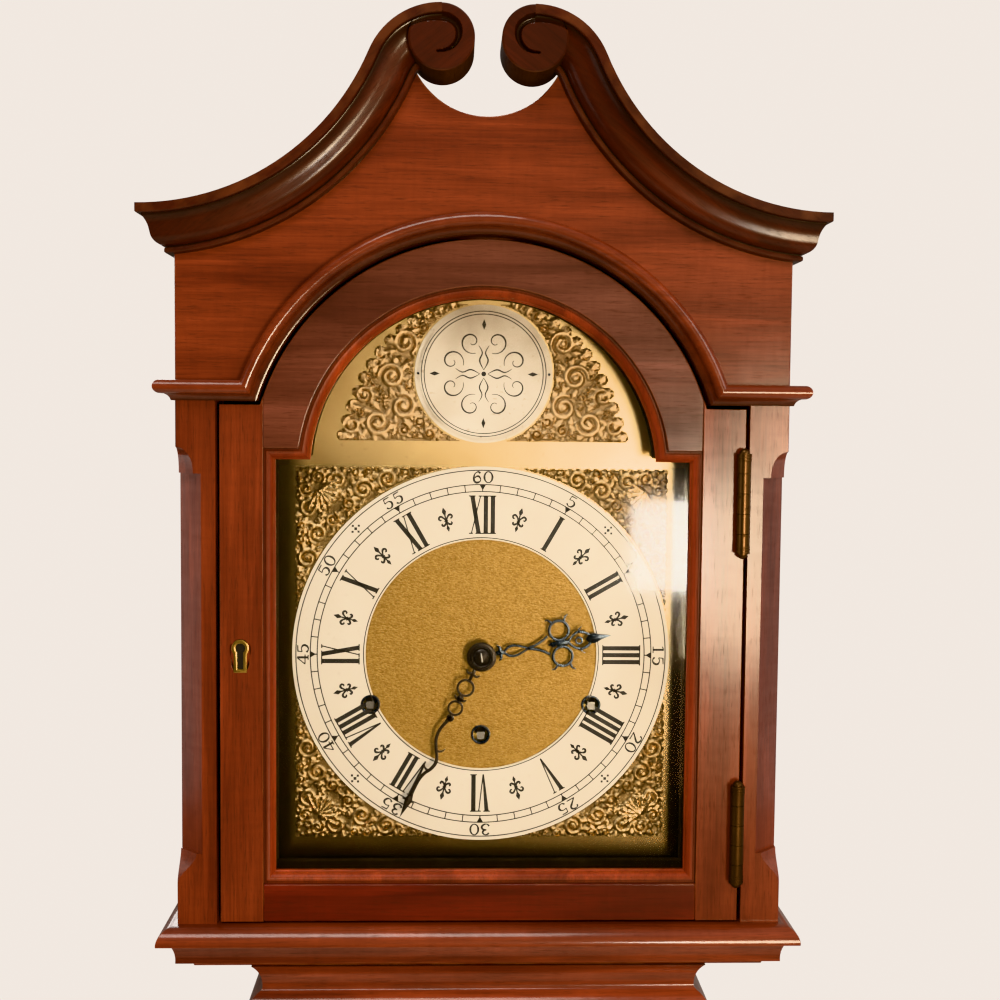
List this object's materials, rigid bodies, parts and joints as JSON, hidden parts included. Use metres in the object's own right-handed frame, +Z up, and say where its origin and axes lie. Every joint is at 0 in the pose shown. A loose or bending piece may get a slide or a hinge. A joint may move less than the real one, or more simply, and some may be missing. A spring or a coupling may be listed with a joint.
{
  "type": "longcase clock",
  "caption": "Longcase clock with a swan-neck hood that slides off, a glazed hood door over a break-arch brass dial, a spring-driven chiming movement, a pendulum and a trunk door.",
  "frame": {"origin": "on the floor under the middle of the clock, the bottom centre of its bounding box", "axes": "+Z up, the dial faces -Y, +X to the right of someone who faces the dial"},
  "size_m": [0.401, 0.2336, 1.7828],
  "materials": {
    "mahogany": "French-polished mahogany",
    "pine": "stained softwood",
    "brass": "lacquered brass, dulled",
    "gilt_brass": "gilt, satin",
    "silvered_brass": "silvered, matt",
    "steel": "polished steel",
    "blued_steel": "blued and blackened",
    "glass": "clear sheet glass"
  },
  "bodies": {
    "case": {"backboard": "pine", "trunk_sides": "mahogany", "trunk_front_frame": "mahogany", "throat_moulding": "mahogany", "hood_seat_board": "mahogany", "base_panels": "mahogany", "waist_moulding": "mahogany", "plinth": "mahogany", "seatboard": "pine", "chime_rods": "steel", "front_plate": "brass", "back_plate": "brass", "dial_plate": "gilt_brass", "chapter_ring": "silvered_brass", "spandrels": "gilt_brass", "arch_boss": "silvered_brass", "suspension_cock": "brass", "trunk_hinge_leaves": "brass"},
    "hood": {"hood_base_moulding": "mahogany", "hood_posts": "mahogany", "hood_sides": "mahogany", "hood_roof": "pine", "tympanum": "mahogany", "arch_moulding": "mahogany", "swan_necks": "mahogany", "dial_mask": "pine", "hood_hinge_leaves": "brass"},
    "hood_door": {"door_stiles": "mahogany", "door_bottom_rail": "mahogany", "door_arch_rail": "mahogany", "glazing_bead": "mahogany", "door_glass": "glass", "door_hinges": "brass", "door_escutcheon": "brass"},
    "lock_bolt": {"door_lock_bolt": "steel"},
    "trunk_door_leaf": {"trunk_door": "mahogany", "trunk_door_hinges": "brass", "trunk_escutcheon": "brass"},
    "minute_arbor": {"centre_wheel": "brass", "cannon_pinion": "brass", "minute_hand": "blued_steel", "hand_collet": "blued_steel"},
    "third_arbor": {"third_wheel": "brass"},
    "escape_arbor": {"escape_wheel": "brass"},
    "intermediate_arbor": {"intermediate_wheel": "brass"},
    "going_drum": {"going_barrel": "brass"},
    "strike_drum": {"strike_barrel": "brass"},
    "chime_drum": {"chime_barrel": "brass"},
    "going_key_arbor": {"going_winder": "steel"},
    "strike_key_arbor": {"strike_winder": "steel"},
    "chime_key_arbor": {"chime_winder": "steel"},
    "motion_wheel": {"minute_wheel": "brass"},
    "hour_pipe": {"hour_wheel": "brass", "hour_hand": "blued_steel"},
    "pendulum": {"pendulum_rod": "steel", "pendulum_bob": "brass", "suspension_spring": "steel"},
    "nut": {"rating_nut": "brass"},
    "anchor_arbor": {"anchor": "steel"},
    "hammers": {"chime_hammers": "brass"}
  },
  "joints": [
    {"name": "hood_slide", "type": "slide", "parent": "case", "child": "hood", "axis": [0, -1, 0], "range_m": [0, 0.2]},
    {"name": "hood_door_swing", "type": "hinge", "parent": "hood", "child": "hood_door", "pos_m": [0.1543, -0.10285, 1.4], "axis": [0, 0, 1], "range_deg": [0, 110]},
    {"name": "lock_bolt_throw", "type": "slide", "parent": "hood_door", "child": "lock_bolt", "axis": [-1, 0, 0], "range_m": [0, 0.007]},
    {"name": "trunk_door_swing", "type": "hinge", "parent": "case", "child": "trunk_door_leaf", "pos_m": [0.0862, -0.08885, 0.777], "axis": [0, 0, 1], "range_deg": [0, 100]},
    {"name": "minute_arbor_turn", "type": "hinge", "parent": "case", "child": "minute_arbor", "pos_m": [0, 0, 1.4], "axis": [0, 1, 0], "continuous": true},
    {"name": "third_arbor_turn", "type": "hinge", "parent": "case", "child": "third_arbor", "pos_m": [0.018, 0, 1.42013], "axis": [0, 1, 0], "continuous": true},
    {"name": "escape_arbor_turn", "type": "hinge", "parent": "case", "child": "escape_arbor", "pos_m": [0, 0, 1.43277], "axis": [0, 1, 0], "continuous": true},
    {"name": "intermediate_arbor_turn", "type": "hinge", "parent": "case", "child": "intermediate_arbor", "pos_m": [-0.02077, 0, 1.3816], "axis": [0, 1, 0], "continuous": true},
    {"name": "going_drum_turn", "type": "hinge", "parent": "case", "child": "going_drum", "pos_m": [0, 0, 1.3493], "axis": [0, 1, 0], "continuous": true},
    {"name": "motion_wheel_turn", "type": "hinge", "parent": "case", "child": "motion_wheel", "pos_m": [-0.01237, 0, 1.41237], "axis": [0, 1, 0], "continuous": true},
    {"name": "hour_pipe_turn", "type": "hinge", "parent": "case", "child": "hour_pipe", "pos_m": [0, 0, 1.4], "axis": [0, 1, 0], "continuous": true},
    {"name": "strike_drum_turn", "type": "hinge", "parent": "case", "child": "strike_drum", "pos_m": [-0.069, 0, 1.3683], "axis": [0, 1, 0], "continuous": true},
    {"name": "chime_drum_turn", "type": "hinge", "parent": "case", "child": "chime_drum", "pos_m": [0.069, 0, 1.3683], "axis": [0, 1, 0], "continuous": true},
    {"name": "going_key_turn", "type": "hinge", "parent": "case", "child": "going_key_arbor", "pos_m": [0, 0, 1.3493], "axis": [0, 1, 0], "continuous": true},
    {"name": "strike_key_turn", "type": "hinge", "parent": "case", "child": "strike_key_arbor", "pos_m": [-0.069, 0, 1.3683], "axis": [0, 1, 0], "continuous": true},
    {"name": "chime_key_turn", "type": "hinge", "parent": "case", "child": "chime_key_arbor", "pos_m": [0.069, 0, 1.3683], "axis": [0, 1, 0], "continuous": true},
    {"name": "pendulum_swing", "type": "hinge", "parent": "case", "child": "pendulum", "pos_m": [0, 0.02, 1.45677], "axis": [0, 1, 0], "range_deg": [-3, 3], "deforming": ["suspension_spring"]},
    {"name": "anchor_rock", "type": "hinge", "parent": "case", "child": "anchor_arbor", "pos_m": [0, 0, 1.45677], "axis": [0, 1, 0], "range_deg": [-3, 3]},
    {"name": "rating_nut_turn", "type": "hinge", "parent": "pendulum", "child": "nut", "pos_m": [0, 0.02, 0.71147], "axis": [0, 0, 1], "continuous": true},
    {"name": "hammer_lift", "type": "hinge", "parent": "case", "child": "hammers", "pos_m": [0, 0.0485, 1.37], "axis": [1, 0, 0], "range_deg": [0, 15]}
  ],
  "couplings": [
    {"joint": "third_arbor_turn", "follows": "minute_arbor_turn", "ratio": -8},
    {"joint": "escape_arbor_turn", "follows": "minute_arbor_turn", "ratio": 72},
    {"joint": "intermediate_arbor_turn", "follows": "minute_arbor_turn", "ratio": -0.15625},
    {"joint": "going_drum_turn", "follows": "minute_arbor_turn", "ratio": 0.022321},
    {"joint": "motion_wheel_turn", "follows": "minute_arbor_turn", "ratio": -0.75},
    {"joint": "hour_pipe_turn", "follows": "minute_arbor_turn", "ratio": 0.083333},
    {"joint": "anchor_rock", "follows": "pendulum_swing", "ratio": 1}
  ]
}
